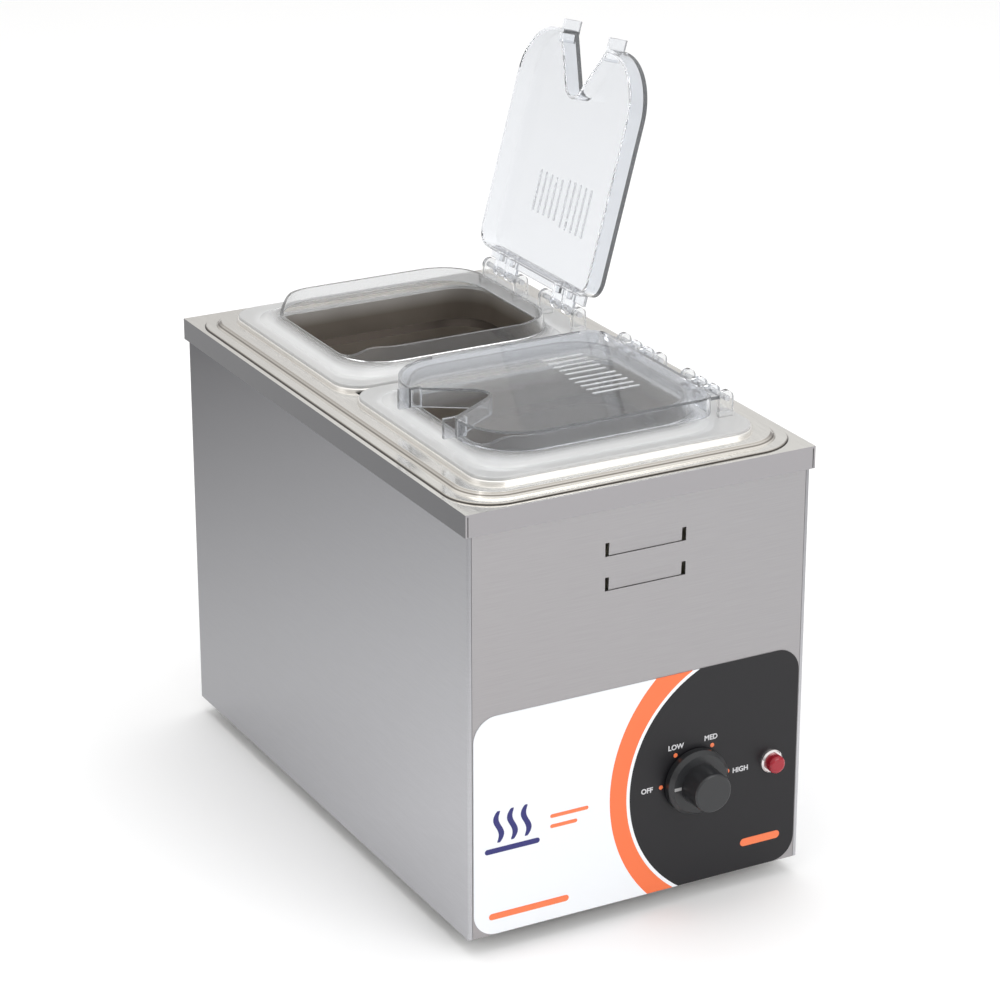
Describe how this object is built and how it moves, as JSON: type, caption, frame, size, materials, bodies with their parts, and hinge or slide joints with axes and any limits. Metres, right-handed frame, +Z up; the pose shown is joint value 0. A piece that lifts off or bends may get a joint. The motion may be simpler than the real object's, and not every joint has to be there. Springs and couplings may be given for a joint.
{
  "type": "countertop food pan warmer",
  "caption": "Countertop food warmer with a heated well, lift-out steel pans and clear flip-top lids.",
  "frame": {"origin": "centre of the base plate's underside, level with the cabinet's lower edge; the feet reach below it", "axes": "+Z up; the control front faces -Y; the lids open towards +X"},
  "size_m": [0.2336, 0.3955, 0.4367],
  "materials": {
    "deck_steel": "polished stainless steel",
    "well_steel": "stainless steel",
    "side_steel": "brushed stainless steel",
    "front_steel": "brushed stainless steel",
    "base_steel": "galvanised sheet",
    "pan_steel": "satin stainless steel",
    "rubber": "black rubber",
    "screw_steel": "zinc plated",
    "label_film": "printed film",
    "knob_plastic": "black moulded",
    "pointer_white": "white moulded",
    "switch_body": "moulded",
    "chrome": "polished",
    "lens_red": "red moulded",
    "lamp_plastic": "black moulded",
    "element_sheath": "heat tinted sheath",
    "insulation": "fibre blanket",
    "aluminised": "aluminised sheet",
    "wire": "insulated wire",
    "block": "moulded",
    "brass": "plain",
    "lid_clear": "clear frosted moulded",
    "flap_clear": "clear moulded",
    "pin_steel": "plain"
  },
  "bodies": {
    "cabinet": {"deck": "deck_steel", "well_liner": "well_steel", "side_panel_left": "side_steel", "side_panel_right": "side_steel", "front_panel": "front_steel", "rear_panel": "front_steel", "base_plate": "base_steel", "feet": "rubber", "foot_washers": "screw_steel", "foot_nuts": "screw_steel", "control_label": "label_film", "control_switch": "switch_body", "bushing_nut": "screw_steel", "lamp_bezel": "chrome", "lamp_lens": "lens_red", "lamp_body": "lamp_plastic", "lamp_nut": "lamp_plastic", "heating_element": "element_sheath", "element_clamps": "aluminised", "clamp_studs": "screw_steel", "clamp_nuts": "screw_steel", "heat_shield": "aluminised", "insulation": "insulation", "high_limit_cutout": "block", "terminal_block": "block", "ground_screw": "brass", "wires": "wire", "cord_gland": "lamp_plastic", "gland_nut": "lamp_plastic", "rear_screws": "screw_steel"},
    "knob_body": {"knob": "knob_plastic", "knob_pointer": "pointer_white", "switch_shaft": "brass"},
    "pan_front_body": {"pan_front": "pan_steel"},
    "pan_rear_body": {"pan_rear": "pan_steel"},
    "lid_front_body": {"lid_base_front": "lid_clear", "hinge_pins_front": "pin_steel"},
    "lid_rear_body": {"lid_base_rear": "lid_clear", "hinge_pins_rear": "pin_steel"},
    "flap_front_body": {"lid_flap_front": "flap_clear"},
    "flap_rear_body": {"lid_flap_rear": "flap_clear"}
  },
  "joints": [
    {"name": "knob_turn", "type": "hinge", "parent": "cabinet", "child": "knob_body", "pos_m": [0.036, -0.19, 0.065], "axis": [0, 1, 0], "range_deg": [0, 180]},
    {"name": "pan_front_lift", "type": "slide", "parent": "cabinet", "child": "pan_front_body", "axis": [0, 0, 1], "range_m": [0, 0.12]},
    {"name": "pan_rear_lift", "type": "slide", "parent": "cabinet", "child": "pan_rear_body", "axis": [0, 0, 1], "range_m": [0, 0.12]},
    {"name": "lid_front_lift", "type": "slide", "parent": "pan_front_body", "child": "lid_front_body", "axis": [0, 0, 1], "range_m": [0, 0.08]},
    {"name": "lid_rear_lift", "type": "slide", "parent": "pan_rear_body", "child": "lid_rear_body", "axis": [0, 0, 1], "range_m": [0, 0.08]},
    {"name": "flap_front_swing", "type": "hinge", "parent": "lid_front_body", "child": "flap_front_body", "pos_m": [0.078, -0.082, 0.2702], "axis": [0, 1, 0], "range_deg": [0, 105]},
    {"name": "flap_rear_swing", "type": "hinge", "parent": "lid_rear_body", "child": "flap_rear_body", "pos_m": [0.078, 0.082, 0.2702], "axis": [0, 1, 0], "range_deg": [-105, 0]}
  ]
}
